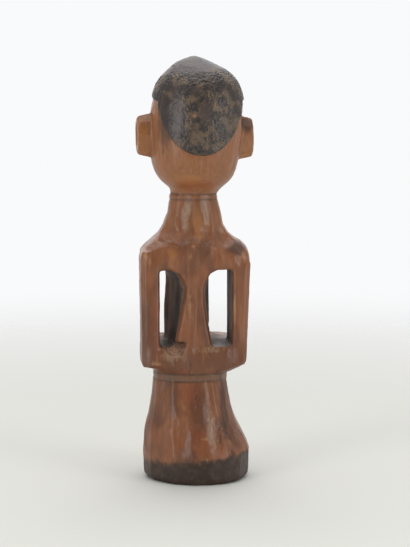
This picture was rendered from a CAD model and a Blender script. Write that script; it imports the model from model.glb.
# %% [markdown]
# A carved wooden half figure, seen from behind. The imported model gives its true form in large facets.
# This lesson dresses it: an even, fine skin is laid over that form, knife cuts and a pebbled hair cap
# are pressed into the skin, and a layered paint recipe gives it old, handled wood.

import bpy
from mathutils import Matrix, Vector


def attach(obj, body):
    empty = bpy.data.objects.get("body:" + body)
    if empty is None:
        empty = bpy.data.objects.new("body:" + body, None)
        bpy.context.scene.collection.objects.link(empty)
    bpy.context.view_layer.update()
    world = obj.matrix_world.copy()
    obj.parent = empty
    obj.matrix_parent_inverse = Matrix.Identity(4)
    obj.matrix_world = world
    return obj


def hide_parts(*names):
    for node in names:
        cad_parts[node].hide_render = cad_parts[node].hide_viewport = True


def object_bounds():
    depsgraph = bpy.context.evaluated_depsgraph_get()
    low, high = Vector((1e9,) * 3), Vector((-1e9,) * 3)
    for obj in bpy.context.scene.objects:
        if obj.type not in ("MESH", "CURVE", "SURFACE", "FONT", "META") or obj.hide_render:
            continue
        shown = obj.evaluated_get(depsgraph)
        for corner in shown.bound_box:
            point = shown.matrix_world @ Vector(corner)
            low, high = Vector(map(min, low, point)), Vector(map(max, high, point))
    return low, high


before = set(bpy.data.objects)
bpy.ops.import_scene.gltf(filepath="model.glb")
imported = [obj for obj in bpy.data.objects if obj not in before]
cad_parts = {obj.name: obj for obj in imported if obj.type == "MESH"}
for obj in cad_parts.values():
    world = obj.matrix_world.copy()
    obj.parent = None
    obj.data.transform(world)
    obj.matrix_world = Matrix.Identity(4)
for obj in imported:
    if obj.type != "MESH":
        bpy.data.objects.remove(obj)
cad_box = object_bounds()
print("CAD box in metres:", [tuple(round(c, 4) for c in corner) for corner in cad_box])

# %% Helpers and units
import math

import bmesh
import bpy
import numpy as np
from mathutils import Vector, noise
from mathutils.bvhtree import BVHTree

MM = 0.001
NODE = "carved_figure"
HEIGHT = (cad_box[1].z - cad_box[0].z) / MM
print("height in mm:", round(HEIGHT, 1))

# %% [markdown]
# The camera comes first, because every later choice is judged through it. It stands behind the figure
# and a little to its left, slightly above the shoulders, with a long lens so that the sides stay parallel.
# It could be placed by eye. Here it is worked out from a bearing, a rise and a distance, which are easy
# to read and to correct.

# %% Camera
BEARING = 170.0
RISE = 6.67
DISTANCE = 854.0
LOOK_HEIGHT = 107.1
LOOK_ASIDE = 5.3
LOOK_BACK = 1.67
TALL_ANGLE = 19.0


def towards(bearing, rise):
    """The direction from the figure to something at a bearing round it and a rise above the floor."""
    a = math.radians(bearing)
    e = math.radians(rise)
    return Vector((math.sin(a) * math.cos(e), -math.cos(a) * math.cos(e), math.sin(e)))


back = towards(BEARING, RISE)
right = Vector((0, 0, 1)).cross(back).normalized()
target = right * LOOK_ASIDE + Vector((0, LOOK_BACK, LOOK_HEIGHT))
camera = bpy.data.objects.new("camera", bpy.data.cameras.new("camera"))
camera.data.angle = math.radians(TALL_ANGLE)
camera.location = (target + back * DISTANCE) * MM
camera.rotation_euler = back.to_track_quat("Z", "Y").to_euler()
bpy.context.scene.collection.objects.link(camera)
bpy.context.scene.camera = camera
print("camera at, in mm:", [round(c / MM, 1) for c in camera.location])

# %% [markdown]
# The fine skin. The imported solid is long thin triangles, which can't hold small relief. A copy of it is
# merged into one sheet and remeshed on a grid, which gives small even faces everywhere. Subdividing would
# keep the long triangles long, so the grid is the better base for carving.

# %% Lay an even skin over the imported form
SKIN_GRID = 0.6
HAIR_CUTS = 1


def skin_of(node, name, grid):
    """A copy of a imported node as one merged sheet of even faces, grid millimetres wide."""
    sheet = bmesh.new()
    sheet.from_mesh(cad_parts[node].data)
    bmesh.ops.remove_doubles(sheet, verts=sheet.verts, dist=0.01 * MM)
    rough = bpy.data.meshes.new(name + " rough")
    sheet.to_mesh(rough)
    sheet.free()
    piece = bpy.data.objects.new(name, rough)
    bpy.context.scene.collection.objects.link(piece)
    even = piece.modifiers.new("even faces", "REMESH")
    even.mode = "VOXEL"
    even.voxel_size = grid * MM
    ready = piece.evaluated_get(bpy.context.evaluated_depsgraph_get())
    fine = bpy.data.meshes.new_from_object(ready)
    piece.modifiers.clear()
    piece.data = fine
    return piece


figure = skin_of(NODE, "figure", SKIN_GRID)
print("faces in the even skin:", len(figure.data.polygons))

# %% [markdown]
# Landmarks. The hair ends on a line that is lowest in the middle of the nape, climbs to the temples and
# runs level over the brow. The line is written as a height for each bearing round the head, the same way
# that the carver would mark it, so any point of the skin can be asked how far above the line it lies.

# %% Landmarks, in millimetres
HEAD_X = 0.12
HEAD_Y = 1.51
HAIR_LOW = 169.6
HAIR_TEMPLE = 197.0
HAIR_BROW = 207.0
HAIR_SWEEP = 2.15
TEMPLE = 66.0
NECK_GROOVE = 149.1
COLLAR_GROOVE = 146.4
BELT_LOW = 52.4
BELT_HIGH = 56.2
BAND_TOP = 13.2
SPINE_X = 2.6


def step(values, low, high):
    """0 below low, 1 above high, and a smooth climb between."""
    t = np.clip((values - low) / (high - low), 0, 1)
    return t * t * (3 - 2 * t)


def bell(values, middle, width):
    """1 at the middle, falling to nothing on both sides."""
    return np.exp(-(((values - middle) / width) ** 2))


def round_head(points):
    """Degrees round the head from the middle of the nape; positive is the figure's left."""
    return np.degrees(np.arctan2(points[:, 0] - HEAD_X, points[:, 1] - HEAD_Y))


def above_hair_line(points):
    """How far each point lies above the hair line."""
    turned = np.abs(round_head(points))
    temple = np.clip(turned / TEMPLE, 0, 1) ** HAIR_SWEEP
    brow = step(turned, TEMPLE, 180)
    line = HAIR_LOW + (HAIR_TEMPLE - HAIR_LOW) * temple + (HAIR_BROW - HAIR_TEMPLE) * brow
    return points[:, 2] - line


def on_ear(points):
    """1 on the block ears, 0 on the head beside them."""
    height = points[:, 2]
    return step(np.abs(points[:, 0]), 24.6, 26) * step(height, 160, 165) * step(-height, -196, -191)


# %% [markdown]
# First the skin loses the steps of its grid, and what hands have rubbed round gets rounder: the arms, the
# spine and the edges of the windows. Moving each point to the mean of its neighbours does both, a few
# rounds for the steps and many for the rubbed parts. A bevel would need clean edges, which old wood
# hasn't got.

# %% Read and smooth the skin


def read_skin(mesh):
    """The places, in millimetres, and the normals of all points of a mesh."""
    places = np.empty(len(mesh.vertices) * 3)
    mesh.vertices.foreach_get("co", places)
    normals = np.empty(len(mesh.vertices) * 3)
    mesh.vertex_normals.foreach_get("vector", normals)
    return places.reshape(-1, 3) / MM, normals.reshape(-1, 3)


def write_skin(mesh, places):
    """Puts the points of a mesh at new places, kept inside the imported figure's own box."""
    low = np.array(cad_box[0]) / MM
    high = np.array(cad_box[1]) / MM
    mesh.vertices.foreach_set("co", (np.clip(places, low, high) * MM).ravel())
    mesh.update()


def neighbour_mean(mesh, values, rounds):
    """Each row of values averaged with its neighbours on the skin, again and again."""
    ends = np.empty(len(mesh.edges) * 2, int)
    mesh.edges.foreach_get("vertices", ends)
    a, b = ends.reshape(-1, 2).T
    many = len(values)
    count = np.bincount(a, minlength=many) + np.bincount(b, minlength=many)
    for _ in range(rounds):
        total = np.stack([np.bincount(a, column[b], many) + np.bincount(b, column[a], many)
                          for column in values.T], axis=1)
        values = 0.5 * values + 0.5 * total / count[:, None]
    return values


def arms_and_spine(points):
    """1 where the arms and the spine frame the windows behind, 0 elsewhere."""
    height = points[:, 2]
    return step(height, 58, 62) * step(-height, -127, -119) * step(points[:, 1], -6, 0)


places, normals = read_skin(figure.data)
even = neighbour_mean(figure.data, places, 2)
rubbed = neighbour_mean(figure.data, places, 9)
arms = arms_and_spine(places)
crisp = on_ear(places) * step(places[:, 1], -2, 1)
places = even + (rubbed - even) * (0.5 * arms)[:, None] + (places - even) * (0.6 * crisp)[:, None]
write_skin(figure.data, places)
print("points smoothed:", len(places))

# %% [markdown]
# Flat cuts. Where a knife takes off a long shaving it leaves a flat place with a clear border. Each one is
# a plane: whatever stands above it is pressed down onto it. The large ones that give the back its character
# are set one by one, with the way they face, because that decides which lamp they mirror.

# %% Large flat cuts
CUT_DEPTH = 0.55
CUT_REACH = 1.2


def flat_cut(places, spot, facing, deep, wide, tall):
    """Presses the skin near a spot onto a plane that lies deep under it and faces a bearing and a rise."""
    out = np.array(towards(*facing))
    across = np.cross((0, 0, 1), out)
    across /= np.linalg.norm(across)
    along = np.cross(out, across)
    nearest = places[np.argmin(((places - spot) ** 2).sum(axis=1))]
    offset = places - nearest
    over = offset @ out + CUT_DEPTH * deep
    reach = np.hypot(offset @ across / wide, offset @ along / tall) / CUT_REACH
    close = step(-reach, -1.1, -0.4) * step(offset @ out, -6, -4)
    return places - out * (np.maximum(over, 0) * close)[:, None]


NECK_CUTS = [
    ((6.6, 13.2, 139), (152, 11), 0.55, 5.2, 11),
    ((9.5, 15.6, 128), (157, 30), 0.5, 7, 6),
    ((-3.8, 13.8, 138), (201, 8), 0.4, 3.4, 10),
    ((-3.4, 15.6, 128), (196, 25), 0.4, 3.6, 5),
    ((-9, 12.4, 136), (221, 10), 0.5, 4.5, 11),
    ((12.5, 9, 137), (120, 10), 0.5, 4.5, 11),
    ((16, 12, 129), (141, 40), 0.5, 5, 5),
    ((-12, 14, 127), (212, 36), 0.5, 6, 5),
]
SHOULDER_CUTS = [
    ((24, 13, 123.5), (125, 50), 0.5, 7, 5),
    ((20, 18, 119), (170, 8), 0.5, 7, 6),
    ((13, 18.8, 120), (181, 12), 0.4, 5, 7),
    ((-10, 18.8, 118), (186, 14), 0.5, 8, 5),
    ((-19, 17.5, 117), (202, 12), 0.5, 5, 6),
    ((-22, 15, 119), (222, 34), 0.5, 5, 5),
    ((28.5, 16, 117), (140, 8), 0.5, 4, 9),
]
HIP_CUTS = [
    ((-2, 18.8, 68), (178, 20), 0.4, 6, 4),
    ((-9, 18.6, 68.5), (186, 24), 0.5, 5, 4),
    ((-17, 18.4, 66), (193, 4), 0.4, 6, 8),
    ((3, 18.9, 64), (176, -5), 0.4, 5, 5),
    ((26, 17, 66), (150, 0), 0.5, 5, 9),
]
FOOT_CUTS = [
    ((-3.2, 19.4, 43), (196, 12), 0.4, 3.4, 10),
    ((-5.5, 23.4, 29), (197, 20), 0.5, 4.4, 13),
    ((-13, 19, 38), (217, 14), 0.5, 5, 15),
    ((4, 19.8, 42), (176, 12), 0.3, 4.4, 12),
    ((10, 22, 30), (161, 13), 0.5, 5, 14),
    ((3, 24.6, 26), (178, 17), 0.3, 4.5, 10),
    ((16, 13, 42), (131, 9), 0.5, 6, 14),
    ((20, 17, 24), (134, 8), 0.6, 6, 13),
    ((-18, 19, 24), (222, 20), 0.5, 5, 10),
]
NAPE_CUTS = [
    ((17.8, 16.6, 169), (133, -8), 0.4, 4.5, 9),
    ((12, 16, 157.5), (143, -33), 0.5, 6, 5),
    ((9, 22, 163), (157, -19), 0.3, 5, 7),
    ((-2, 21.6, 160), (182, -24), 0.3, 6, 5),
    ((-13, 19, 166), (212, -12), 0.4, 4.5, 9),
    ((-18, 14, 163), (232, -16), 0.5, 4.5, 8),
    ((-9, 18, 156.5), (205, -38), 0.4, 6, 4),
    ((2.6, 17.7, 154.6), (176, -50), 0.3, 8, 3),
]
EAR_CUTS = [
    ((27, 5.4, 184.4), (172, 10), 0.5, 5, 5),
    ((27, 6.4, 174.5), (173, -6), 0.5, 5, 8),
    ((27, 3, 188.7), (168, 40), 0.4, 5, 4),
    ((-26.8, 6.2, 175), (188, -5), 0.5, 5, 8),
    ((-26.8, 5, 184.5), (190, 34), 0.5, 5, 6),
]
uncut = places
for region in (NECK_CUTS, SHOULDER_CUTS, HIP_CUTS, FOOT_CUTS, NAPE_CUTS, EAR_CUTS):
    for spot, facing, deep, wide, tall in region:
        places = flat_cut(places, spot, facing, deep, wide, tall)
write_skin(figure.data, places)
print("deepest flat cut in mm:", round(float(np.abs(places - uncut).max()), 2))

# %% [markdown]
# The hair needs finer faces than the plain wood, because its pebbles are only a millimetre or two across.
# Only the faces above the hair line are subdivided.

# %% Finer faces on the hair
sheet = bmesh.new()
sheet.from_mesh(figure.data)
places = np.array([v.co for v in sheet.verts]) / MM
hairy = (above_hair_line(places) > -1.2) & (places[:, 2] > 160) & (on_ear(places) < 0.5)
edges = [e for e in sheet.edges if hairy[e.verts[0].index] and hairy[e.verts[1].index]]
bmesh.ops.subdivide_edges(sheet, edges=edges, cuts=HAIR_CUTS, use_grid_fill=True)
sheet.to_mesh(figure.data)
sheet.free()
triangles = sum(len(p.vertices) - 2 for p in figure.data.polygons)
print("triangles with the finer hair:", triangles)

# %% [markdown]
# Small relief. Each kind of mark is worked out as one number for every point: how far that point moves
# along its own normal. Numbers are easy to add, mask and limit, and the skin is moved only once, at the end.

# %% Tools for small relief


def cloud(places, size, stretch=1.0, seed=0.0):
    """Soft noise from -1 to 1, in patches of one size, drawn out along the height."""
    scale = np.array([1, 1, 1 / stretch]) / size
    return np.array([noise.noise(Vector(p)) for p in places * scale + seed])


def cells(places, size, stretch, seed):
    """For each point: how far it is from its cell's middle, and how far that cell's own tilt lifts it."""
    scale = np.array([1, 1, 1 / stretch]) / size
    near = np.empty(len(places))
    tilt = np.empty(len(places))
    for i, p in enumerate(places * scale + seed):
        away, middles = noise.voronoi(Vector(p))
        near[i] = away[0]
        tilt[i] = noise.noise_vector(middles[0] * 5.7).dot(Vector(p) - middles[0])
    return near, tilt


def patch(places, normals, spots, ragged=0.35):
    """1 inside oval patches of the back, each given as x, z, half width and half height; 0 elsewhere."""
    rough = 1 + ragged * cloud(places, 1.6, 1.6, 6.6)
    behind = step(normals[:, 1], -0.1, 0.25)
    inside = np.zeros(len(places))
    for x, z, wide, tall in spots:
        reach = np.hypot((places[:, 0] - x) / wide, (places[:, 2] - z) / tall) * rough
        inside = np.maximum(inside, step(-reach, -1.35, -0.65))
    return inside * behind


def bulge(mesh, places, normals, rounds):
    """Positive on edges and bumps, negative in grooves: how far a point stands above its surroundings."""
    return np.einsum("ij,ij->i", places - neighbour_mean(mesh, places, rounds), normals)


places, normals = read_skin(figure.data)
above_line = above_hair_line(places)
not_ear = 1 - on_ear(places)
on_head = step(places[:, 2], 160, 164)
hair = step(above_line, -0.3, 0.3) * on_head * not_ear
print("points:", len(places), "of them under hair:", int(hair.sum()))

# %% [markdown]
# Between the large cuts lie hundreds of small ones. A field of stretched cells stands for them: each cell
# is one stroke, hollowed a little and tipped its own way, longer along the grain than across it. The spine
# was left knobbly and rubbed round, so soft noise swells it.

# %% Small knife strokes, furrows and cracks
CRACKS = [(5.4, 55, 64.5), (2.2, 38, 47), (-9.4, 18, 31), (13, 60, 66)]
strokes_here = 1 - 0.25 * step(places[:, 2], 150, 153)
on_spine = bell(places[:, 0], SPINE_X, 7.5) * step(places[:, 2], 62, 68) * step(-places[:, 2], -114, -106)
on_spine *= step(normals[:, 1], -0.1, 0.4)
near, tilt = cells(places, 5.2, 3.0, 11.3)
wide_strokes = -0.16 * (1 - near**2) + 0.26 * tilt
near, tilt = cells(places, 2.1, 3.4, 4.1)
small_strokes = -0.06 * (1 - near**2) + 0.13 * tilt
furrows = 0.05 * cloud(places, 0.8, 14, 2.7)
knobs = 0.5 * cloud(places, 4.6, 1.7, 5.5) + 0.16 * cloud(places, 1.6, 2.2, 8.1)
wood_lift = (wide_strokes + small_strokes) * strokes_here + furrows + knobs * on_spine
for x, low, high in CRACKS:
    wander = x + 0.35 * np.sin(places[:, 2] * 0.9) + 0.2 * np.sin(places[:, 2] * 2.3)
    along = step(places[:, 2], low, low + 1.5) * step(-places[:, 2], -high, 1.5 - high)
    wood_lift -= 0.35 * bell(places[:, 0], wander, 0.32) * along * step(normals[:, 1], 0, 0.3)
print("strokes from", round(float(wood_lift.min()), 2), "to", round(float(wood_lift.max()), 2), "mm")

# %% [markdown]
# A knot is harder than the wood round it, so it stays as a few raised rings. A ripple that fades out from
# the knot's middle gives them in one line.

# %% Knots
KNOTS = [(2.4, 161.4, 2.3), (9.6, 58.9, 1.9), (17, 4.4, 1.6), (10.6, 3.6, 1.7), (-1.7, 13.8, 0.8)]
for x, z, size in KNOTS:
    away = np.hypot(places[:, 0] - x, places[:, 2] - z)
    rings = np.cos(away / size * 2 * math.pi) * step(-away, -1.15 * size, -0.8 * size)
    wood_lift += 0.16 * rings * step(normals[:, 1], 0, 0.3)
print("knots:", len(KNOTS))

# %% [markdown]
# The hair is a field of small pebbles, cut crosswise with a narrow blade and then rubbed. Where hands have
# touched it most, the pebbles are gone and long smooth places show.

# %% Pebbled hair
SMOOTH_HAIR = [
    (12.6, 189, 3.6, 12),
    (-2, 192, 2.6, 6),
    (18.4, 187, 2.2, 12),
    (4, 189.6, 1.4, 1.5),
]
rubbed_hair = patch(places, normals, SMOOTH_HAIR, 0.5)
rubbed_hair = np.maximum(rubbed_hair, step(places[:, 2] + 0.12 * places[:, 0], 210.5, 213.5))
near, tilt = cells(places, 1.3, 1.1, 7.9)
pebbles = 0.36 * (1 - near**1.5) + 0.4 * tilt
near, tilt = cells(places, 5.5, 1.4, 3.3)
lumps = -0.06 * (1 - near**2) + 0.2 * tilt
hair_lift = pebbles * (1 - 0.7 * rubbed_hair) + lumps - 0.15
line_groove = -0.3 * bell(above_line, -0.7, 0.6) * on_head * not_ear
lift = wood_lift * (1 - hair) + hair_lift * hair + line_groove
print("share of the hair rubbed smooth:", round(float((rubbed_hair * hair).sum() / hair.sum()), 2))

# %% [markdown]
# The figure stands on a flat sawn foot, so the relief fades out just above the floor. Everything else moves
# once, along its own normal.

# %% Keep the underside flat and move the skin
lift *= step(places[:, 2], 0.2, 2.5)
write_skin(figure.data, places + normals * lift[:, None])
print("moved", len(lift), "points by up to", round(float(np.abs(lift).max()), 2), "mm")

# %% [markdown]
# Wear and dirt follow the form: hands rub edges light, grooves keep dark grime, and what hands and light
# don't reach stays dull and dark. All of it is measured on the finished skin and stored on its points,
# where the paint recipe can read it.

# %% How sheltered each point is
SKY_RAYS = 40
SHELTER_REACH = 30.0


def sky(count):
    """Directions spread evenly over a ball, on a spiral."""
    turn = math.pi * (3 - math.sqrt(5))
    heights = [1 - 2 * (i + 0.5) / count for i in range(count)]
    return [Vector((math.cos(turn * i) * math.sqrt(1 - z * z), math.sin(turn * i) * math.sqrt(1 - z * z), z))
            for i, z in enumerate(heights)]


def shelter(mesh, places, normals, wanted):
    """The share of the sky that the figure itself hides from each wanted point."""
    tree = BVHTree.FromPolygons(places.tolist(), [tuple(p.vertices) for p in mesh.polygons])
    rays = sky(SKY_RAYS)
    hidden = np.zeros(len(places))
    for i in np.flatnonzero(wanted):
        normal = Vector(normals[i])
        start = Vector(places[i]) + normal * 0.3
        seen = [ray for ray in rays if ray.dot(normal) > 0.2]
        hidden[i] = sum(tree.ray_cast(start, ray, SHELTER_REACH)[0] is not None for ray in seen) / len(seen)
    return hidden


places, normals = read_skin(figure.data)
above_line = above_hair_line(places)
hidden = shelter(figure.data, places, normals, hair < 0.5)
hidden = neighbour_mean(figure.data, hidden[:, None], 2)[:, 0]
print("most sheltered point sees this share of the sky:", round(1 - float(hidden.max()), 2))

# %% [markdown]
# The marks of use that have a place of their own: small bare chips, places rubbed to gold, redder heartwood,
# stains, and the freshly cut slopes behind the window sills. Each is an oval on the back, by eye.

# %% Store wear and dirt on the skin
BARE_SPOTS = [
    (4.1, 189.6, 1.2, 1.0),
    (-23.2, 117, 1.0, 2.4),
    (-18.1, 92, 0.6, 7),
    (5.2, 92, 0.7, 5),
    (3.4, 123, 1.2, 0.7),
    (5.2, 118, 0.6, 0.7),
    (23, 62.6, 2.6, 0.8),
    (9, 39.8, 0.8, 0.5),
    (-1.4, 24, 2.4, 0.4),
    (28, 119, 0.9, 1.8),
    (26, 115.5, 0.6, 2.4),
    (-1.6, 13.8, 0.8, 0.7),
]
GOLD_SPOTS = [
    (14.6, 117.6, 2.2, 4),
    (0.6, 133, 1.7, 8),
    (5, 157, 7, 2.6),
    (27, 176, 3, 7),
    (-27, 174, 3, 6),
]
RED_SPOTS = [
    (5, 46.5, 4, 6),
    (3, 24, 5, 6),
    (2, 154.8, 11, 2.4),
    (9.6, 58.9, 2.2, 1.8),
    (-14, 6, 4, 4),
    (22, 80, 3, 20),
]
DARK_SPOTS = [
    (17.5, 187, 3, 13),
    (-26.8, 184.6, 4, 3.8),
    (-19.5, 121.2, 5, 3.4),
    (-13, 38, 2.4, 14),
    (-16, 15.5, 1.5, 2),
    (-6, 205, 6, 4),
]
FRESH_SPOTS = [
    (14, 67.5, 5.6, 3.8),
    (-5.5, 69.2, 5, 1.6),
    (6.6, 138, 1.8, 7.5),
    (-3.8, 139, 1.4, 7),
    (-5, 29, 1.8, 9),
]
GROOVES = [BELT_LOW, BELT_HIGH, COLLAR_GROOVE, NECK_GROOVE]


def store(mesh, name, values):
    """Keeps one number per point on the mesh under a name."""
    layer = mesh.attributes.new(name, "FLOAT", "POINT")
    layer.data.foreach_set("value", np.clip(values, 0, 1).astype(np.float32))
    print(name, "covers", round(float(np.clip(values, 0, 1).mean()), 3))


fine_bulge = bulge(figure.data, places, normals, 5)
broad_bulge = bulge(figure.data, places, normals, 30)
broken = step(cloud(places, 2.2, 2.5, 1.9), -0.15, 0.35)
worn = step(fine_bulge, 0.05, 0.18) + 0.5 * step(broad_bulge, 0.25, 0.9)
grime = step(-fine_bulge, 0.05, 0.2) + 0.6 * step(-broad_bulge, 0.25, 0.9)
uneven = 0.75 + 0.5 * cloud(places, 3.0, 1.0, 4.6)
for groove in GROOVES:
    grime += bell(places[:, 2], groove, 0.42) * uneven
belt = step(places[:, 2], BELT_LOW - 0.3, BELT_LOW + 0.5) * step(-places[:, 2], -BELT_HIGH - 0.5, -BELT_HIGH)
turn = round_head(places)
band_line = BAND_TOP - 2.3 * np.sin(np.radians(turn)) + 1.3 * cloud(places, 3.5, 1, 8.8)
store(figure.data, "worn", worn * broken * (1 - 0.5 * arms_and_spine(places)))
store(figure.data, "grime", grime)
store(figure.data, "shelter", step(hidden, 0.12, 0.75))
store(figure.data, "hair", step(above_line, -0.5, 0.2) * on_head * not_ear)
store(figure.data, "rubbed", rubbed_hair)
store(figure.data, "band", step(-places[:, 2], -band_line - 0.5, 0.8 - band_line))
store(figure.data, "belt", belt)
store(figure.data, "tan", 0.5 * step(places[:, 2], 118, 136) + 0.5 * step(places[:, 2], 149, 152))
store(figure.data, "deep", bell(places[:, 2], 63, 9) * step(places[:, 1], 0, 8))
store(figure.data, "fresh", patch(places, normals, FRESH_SPOTS, 0.6))
store(figure.data, "bare", patch(places, normals, BARE_SPOTS, 0.7))
store(figure.data, "gold", patch(places, normals, GOLD_SPOTS, 0.7))
store(figure.data, "red", patch(places, normals, RED_SPOTS, 0.7))
store(figure.data, "dark", patch(places, normals, DARK_SPOTS, 0.5))

# %% [markdown]
# The grid is finer than the plain wood needs. Joining faces where the skin is flattest keeps the relief and
# brings the piece under its limit.

# %% Thin the skin where it is plain
MOST_TRIANGLES = 190000


def thinned(piece, most):
    """Joins faces where the skin is flattest, until at most so many triangles are left."""
    triangles = sum(len(p.vertices) - 2 for p in piece.data.polygons)
    fewer = piece.modifiers.new("fewer faces", "DECIMATE")
    fewer.ratio = min(1, most / triangles)
    ready = piece.evaluated_get(bpy.context.evaluated_depsgraph_get())
    piece.data = bpy.data.meshes.new_from_object(ready)
    piece.modifiers.clear()
    return triangles, sum(len(p.vertices) - 2 for p in piece.data.polygons)


print("triangles before and after thinning:", thinned(figure, MOST_TRIANGLES))

# %% [markdown]
# A paint recipe. Shader nodes are sums and products of masks, so a small class lets them be written as
# sums and products: adding two values adds a Math node. Everything else comes from one method that makes
# any node from its settings and its inputs.

# %% Shader maths


class Value:
    """One output of a node. Arithmetic on it adds Math nodes to the same recipe."""

    def __init__(self, recipe, socket):
        self.recipe = recipe
        self.socket = socket

    def math(self, operation, first, second):
        return self.recipe.node("Math", {"operation": operation}, {0: first, 1: second})

    def __add__(self, other):
        return self.math("ADD", self, other)

    def __radd__(self, other):
        return self.math("ADD", other, self)

    def __sub__(self, other):
        return self.math("SUBTRACT", self, other)

    def __rsub__(self, other):
        return self.math("SUBTRACT", other, self)

    def __mul__(self, other):
        return self.math("MULTIPLY", self, other)

    def __rmul__(self, other):
        return self.math("MULTIPLY", other, self)

    def __truediv__(self, other):
        return self.math("DIVIDE", self, other)

    def __rtruediv__(self, other):
        return self.math("DIVIDE", other, self)

    def __pow__(self, other):
        return self.math("POWER", self, other)


class Recipe:
    """The nodes that make a material or the surrounding room."""

    def __init__(self, owner):
        owner.use_nodes = True
        self.owner = owner
        self.tree = owner.node_tree
        self.tree.nodes.clear()

    def node(self, kind, settings=None, inputs=None, output=0):
        made = self.tree.nodes.new("ShaderNode" + kind)
        for name, setting in (settings or {}).items():
            setattr(made, name, setting)
        for name, value in (inputs or {}).items():
            if isinstance(value, Value):
                self.tree.links.new(value.socket, made.inputs[name])
            else:
                made.inputs[name].default_value = value
        return Value(self, made.outputs[output]) if len(made.outputs) else None

    def stored(self, name):
        """A number that is stored on the skin."""
        return self.node("Attribute", {"attribute_name": name}, output="Fac")

    def place(self, size, stretch=1.0, shift=0.0):
        """Object coordinates in units of size millimetres, drawn out along the height."""
        here = self.node("TexCoord", output="Object")
        scale = (1 / (size * MM), 1 / (size * MM), 1 / (size * MM * stretch))
        moved = (shift, shift, shift)
        return self.node("Mapping", inputs={"Vector": here, "Scale": scale, "Location": moved})

    def cloud(self, size, stretch=1.0, detail=2.0, shift=0.0):
        """Soft noise from 0 to 1."""
        where = self.place(size, stretch, shift)
        return self.node("TexNoise", inputs={"Vector": where, "Scale": 1.0, "Detail": detail})

    def between(self, value, low, high):
        """0 below low, 1 above high."""
        limits = {"Value": value, "From Min": low, "From Max": high}
        return self.node("MapRange", {"interpolation_type": "SMOOTHSTEP"}, limits)

    def blend(self, mask, under, over):
        """One colour laid over another where the mask is 1."""
        return self.node("Mix", {"data_type": "RGBA"}, {0: mask, 6: under, 7: over}, output=2)


def srgb(red, green, blue):
    """A colour as a paint chart gives it, 0 to 255, as the linear values that a shader takes."""
    return tuple(((c / 255 + 0.055) / 1.055) ** 2.4 for c in (red, green, blue)) + (1,)


# %% [markdown]
# Old hardwood under a dark, waxed patina. The base is red-brown, lighter and more tan on the nape and
# ears. Streaks run up the grain, edges are rubbed to ochre, grooves hold dark grime, and the hair and the
# foot's rim are stained almost black.

# %% Wood recipe
RED_BROWN = srgb(138, 85, 52)
DEEP_BROWN = srgb(102, 62, 40)
TAN = srgb(150, 98, 58)
OCHRE = srgb(176, 132, 92)
GOLD = srgb(168, 112, 62)
RED = srgb(138, 72, 44)
GRIME = srgb(38, 28, 23)
DULL = srgb(62, 50, 40)
BELT_GREY = srgb(108, 86, 68)
FRESH = srgb(160, 132, 104)
HAIR_DARK = srgb(50, 42, 38)
HAIR_WARM = srgb(98, 80, 62)
HAIR_PURPLE = srgb(76, 64, 62)
BAND_DARK = srgb(50, 37, 32)
BAND_OLIVE = srgb(64, 53, 43)

wood = Recipe(bpy.data.materials.new("carved wood"))
worn = wood.stored("worn")
grime = wood.stored("grime")
shelter_mask = wood.stored("shelter")
hair_mask = wood.stored("hair")
rubbed_mask = wood.stored("rubbed")
band_mask = wood.stored("band")
grain = wood.cloud(0.8, 22, 3)
streaks = wood.cloud(2.4, 14, 2, 3.7)
patches = wood.cloud(13, 1.8, 2, 9.1)
flecks = wood.between(wood.cloud(0.9, 3, 2, 5.3), 0.66, 0.74)

redder = wood.between(patches, 0.32, 0.6) * (1 - 0.8 * wood.stored("deep"))
colour = wood.blend(redder, DEEP_BROWN, RED_BROWN)
colour = wood.blend(wood.stored("tan") * 0.8, colour, TAN)
colour = wood.blend(wood.between(grain, 0.35, 0.7) * 0.35, colour, DEEP_BROWN)
colour = wood.blend(wood.between(streaks, 0.55, 0.75) * 0.22, colour, OCHRE)
colour = wood.blend(wood.stored("gold") * 0.45, colour, GOLD)
colour = wood.blend(wood.stored("red") * 0.35, colour, RED)
colour = wood.blend(wood.stored("fresh") * wood.between(grain, 0.3, 0.6) * 0.55, colour, FRESH)
colour = wood.blend(wood.stored("belt") * 0.5, colour, BELT_GREY)
colour = wood.blend(flecks * (0.2 + 0.6 * worn), colour, OCHRE)
colour = wood.blend(worn * 0.3, colour, OCHRE)
band_colour = wood.blend(wood.between(wood.cloud(4, 1, 3, 7.2), 0.45, 0.65), BAND_DARK, BAND_OLIVE)
colour = wood.blend(band_mask * 0.94, colour, band_colour)
colour = wood.blend(shelter_mask * 0.85, colour, DULL)

hair_spots = wood.between(wood.cloud(5, 1, 3, 2.2), 0.42, 0.66)
hair_colour = wood.blend(hair_spots * (1 - 0.6 * rubbed_mask), HAIR_DARK, HAIR_WARM)
hair_colour = wood.blend(rubbed_mask * 0.5, hair_colour, HAIR_PURPLE)
hair_colour = wood.blend(worn * 0.45, hair_colour, wood.blend(hair_spots, BELT_GREY, OCHRE))
colour = wood.blend(hair_mask, colour, hair_colour)
colour = wood.blend(wood.stored("dark") * 0.62, colour, GRIME)
colour = wood.blend(wood.stored("bare") * 0.5, colour, OCHRE)
colour = wood.blend(grime * 0.7, colour, GRIME)

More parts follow.
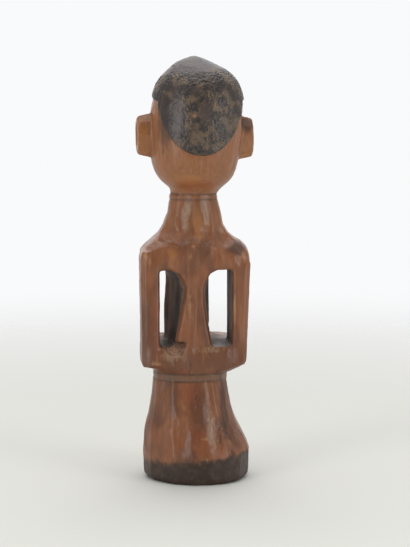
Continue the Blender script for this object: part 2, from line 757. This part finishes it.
height = grain * 0.6 + wood.cloud(0.35, 9, 3, 1.1) * 0.4
bump = wood.node("Bump", inputs={"Strength": 0.3, "Distance": 0.15 * MM, "Height": height})
roughness = 0.4 + 0.14 * wood.cloud(3, 4, 2, 6.4) + 0.15 * grime + 0.25 * shelter_mask
coat = 0.28 * (1 - 0.8 * shelter_mask) * (1 - 0.6 * band_mask)
finish = {"Base Color": colour, "Roughness": roughness, "Normal": bump, "Coat Weight": coat}
shader = wood.node("BsdfPrincipled", inputs={**finish, "IOR": 1.42, "Coat Roughness": 0.27})
wood.node("OutputMaterial", inputs={"Surface": shader})
figure.data.materials.clear()
figure.data.materials.append(wood.owner)
for face in figure.data.polygons:
    face.use_smooth = True
print("wood recipe nodes:", len(wood.tree.nodes))

# %% [markdown]
# The studio: a pale floor that fades into a white surround, a soft box on each side of the camera, one
# overhead. The camera's side of the room stays darker, so the facets that face the lens show their own
# colour and only the turned ones catch the light.

# %% Floor and light
FLOOR_RADIUS = 1.0
WHITE = 0.965
BACKDROP = 1.7
BACKDROP_WIDE = (-0.5, -0.4)
BACKDROP_FAR = (0.28, 0.36)
ROOM_BEHIND = 0.55
ROOM_AT_LENS = 0.12
ROOM_BELOW = 0.8


def soft_box(name, bearing, rise, distance, wide, tall, glow):
    """A rectangular light that faces the middle of the figure; glow is how bright its face looks."""
    lamp = bpy.data.lights.new(name, "AREA")
    lamp.shape = "RECTANGLE"
    lamp.size = wide
    lamp.size_y = tall
    lamp.energy = glow * math.pi * wide * tall
    box = bpy.data.objects.new(name, lamp)
    direction = towards(bearing, rise)
    box.location = Vector((0, 0, 0.5 * HEIGHT * MM)) + direction * distance
    box.rotation_euler = direction.to_track_quat("Z", "Y").to_euler()
    bpy.context.scene.collection.objects.link(box)


soft_box("left box", BEARING - 46, 8, 1.2, 0.44, 0.9, 4.4)
soft_box("right box", BEARING + 57, 8, 1.2, 0.44, 0.9, 4.0)
soft_box("top box", BEARING, 88, 1.1, 1.25, 1.25, 1.7)

floor_sheet = bmesh.new()
bmesh.ops.create_circle(floor_sheet, cap_ends=True, segments=96, radius=FLOOR_RADIUS)
floor = bpy.data.objects.new("floor", bpy.data.meshes.new("floor"))
floor_sheet.to_mesh(floor.data)
floor_sheet.free()
bpy.context.scene.collection.objects.link(floor)
paper = Recipe(bpy.data.materials.new("floor paper"))
here = paper.node("TexCoord", output="Object")
away = paper.node("VectorMath", {"operation": "LENGTH"}, {0: here}, "Value")
matte = paper.node("BsdfDiffuse", inputs={"Color": srgb(216, 216, 210)})
clear = paper.node("BsdfTransparent")
faded = paper.node("MixShader", inputs={0: paper.between(away, 0.12, 0.8), 1: matte, 2: clear})
paper.node("OutputMaterial", inputs={"Surface": faded})
floor.data.materials.append(paper.owner)

room = Recipe(bpy.data.worlds.new("white room"))
looking = room.node("TexCoord", output="Generated")
dot = {"operation": "DOT_PRODUCT"}
lensward = room.node("VectorMath", dot, {0: looking, 1: towards(BEARING, 0)}, "Value")
downward = room.node("VectorMath", dot, {0: looking, 1: (0, 0, -1)}, "Value")
sideward = room.node("VectorMath", dot, {0: looking, 1: right}, "Value")
sideward = room.node("Math", {"operation": "ABSOLUTE"}, {0: sideward})
glow = ROOM_BEHIND + (ROOM_AT_LENS - ROOM_BEHIND) * room.between(lensward, -0.25, 0.6)
backdrop = room.between(0 - sideward, *BACKDROP_WIDE) * room.between(0 - lensward, *BACKDROP_FAR)
glow = glow + (BACKDROP - glow) * backdrop
glow = glow + (ROOM_BELOW - glow) * room.between(downward, 0.0, 0.15)
seen = room.node("LightPath", output="Is Camera Ray")
glow = glow + (WHITE - glow) * seen
surround = room.node("Background", inputs={"Color": (0.985, 0.99, 1.0, 1), "Strength": glow})
room.node("OutputWorld", inputs={"Surface": surround})
bpy.context.scene.world = room.owner
bpy.context.scene.view_settings.view_transform = "Standard"

# %% [markdown]
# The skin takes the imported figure's place: it rides on the same body, and its size is written down next to
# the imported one's.

# %% Hand the piece to the frame and finish
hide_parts(NODE)
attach(figure, "root")
